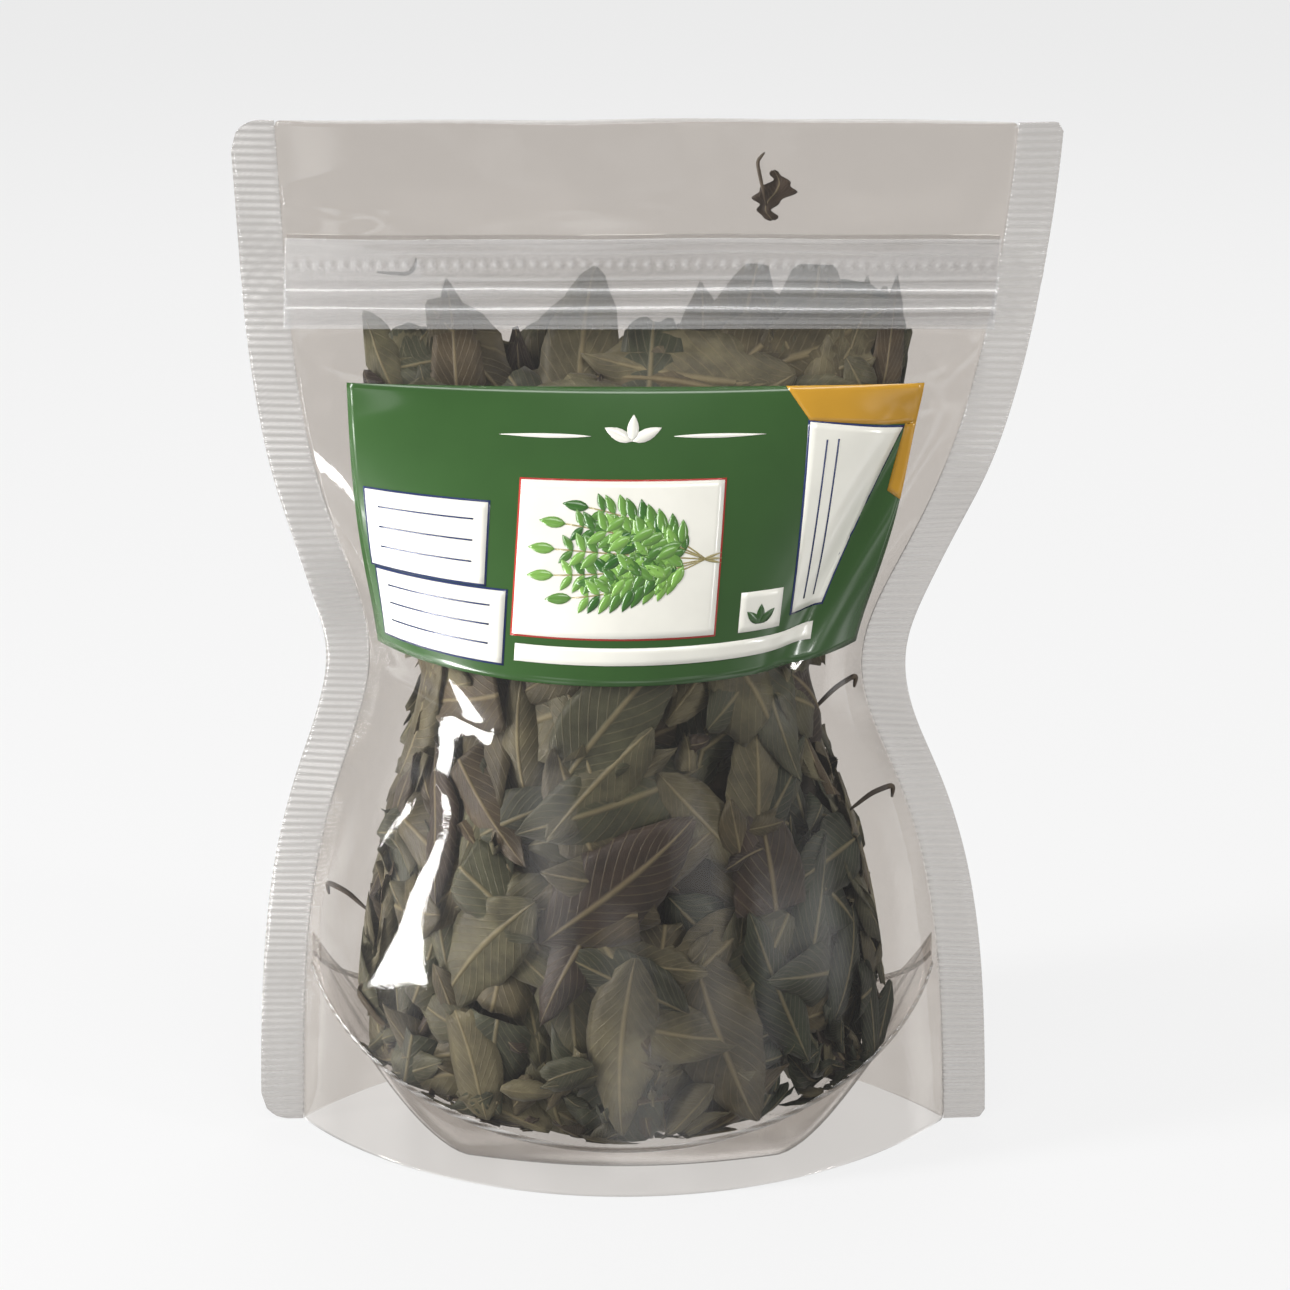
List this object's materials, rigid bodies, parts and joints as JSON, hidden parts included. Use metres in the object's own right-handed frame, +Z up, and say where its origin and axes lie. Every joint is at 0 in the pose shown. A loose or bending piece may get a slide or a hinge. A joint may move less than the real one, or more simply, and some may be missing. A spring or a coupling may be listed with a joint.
{
  "type": "clear stand-up zip pouch of dried curry leaves",
  "caption": "Clear stand-up pouch with a press zip and bottom gusset, filled with loose dried curry leaves, with a plain green label on its front.",
  "frame": {"origin": "centre of the pouch's base, on the surface that it stands on", "axes": "+X across the pouch, to the right seen from the labelled front; +Y towards the back, so the front faces -Y; +Z up, from the gusset to the open top edge"},
  "size_m": [0.1694, 0.08, 0.226],
  "materials": {
    "film_clear": "clear glossy laminate film",
    "zip_clear": "extruded clear polyethylene",
    "label_print": "glossy printed film label",
    "leaf_olive": "dried leaf, grey olive, dull",
    "leaf_tan": "dried leaf, pale underside, dull",
    "leaf_brown": "dried leaf, browned, dull",
    "leaf_pack": "mass of dried leaves in shadow",
    "stalk_brown": "dried leaf stalk"
  },
  "bodies": {
    "root": {"back_film": "film_clear", "bottom_gusset": "film_clear", "front_film": "film_clear", "front_label": "label_print", "header_fragment": "leaf_brown", "leaf_back_01": "leaf_olive", "leaf_back_02": "leaf_olive", "leaf_back_03": "leaf_olive", "leaf_back_04": "leaf_brown", "leaf_back_05": "leaf_olive", "leaf_back_06": "leaf_brown", "leaf_back_07": "leaf_tan", "leaf_back_08": "leaf_brown", "leaf_back_09": "leaf_olive", "leaf_back_10": "leaf_brown", "leaf_back_11": "leaf_olive", "leaf_front_01": "leaf_tan", "leaf_front_02": "leaf_olive", "leaf_front_03": "leaf_brown", "leaf_front_04": "leaf_brown", "leaf_front_05": "leaf_brown", "leaf_front_06": "leaf_olive", "leaf_front_07": "leaf_olive", "leaf_front_08": "leaf_olive", "leaf_front_09": "leaf_tan", "leaf_front_10": "leaf_brown", "leaf_heap": "leaf_pack", "leaf_inner_01": "leaf_olive", "leaf_inner_02": "leaf_olive", "leaf_inner_03": "leaf_olive", "leaf_inner_04": "leaf_brown", "leaf_inner_05": "leaf_olive", "leaf_inner_06": "leaf_olive", "leaf_inner_07": "leaf_olive", "leaf_inner_08": "leaf_brown", "leaf_inner_09": "leaf_olive", "leaf_top_01": "leaf_olive", "leaf_top_02": "leaf_olive", "leaf_top_03": "leaf_olive", "leaf_top_04": "leaf_olive", "stalk_left": "stalk_brown", "stalk_right_lower": "stalk_brown", "stalk_right_upper": "stalk_brown", "zip_groove_strip": "zip_clear", "zip_rib_strip": "zip_clear"}
  },
  "joints": []
}
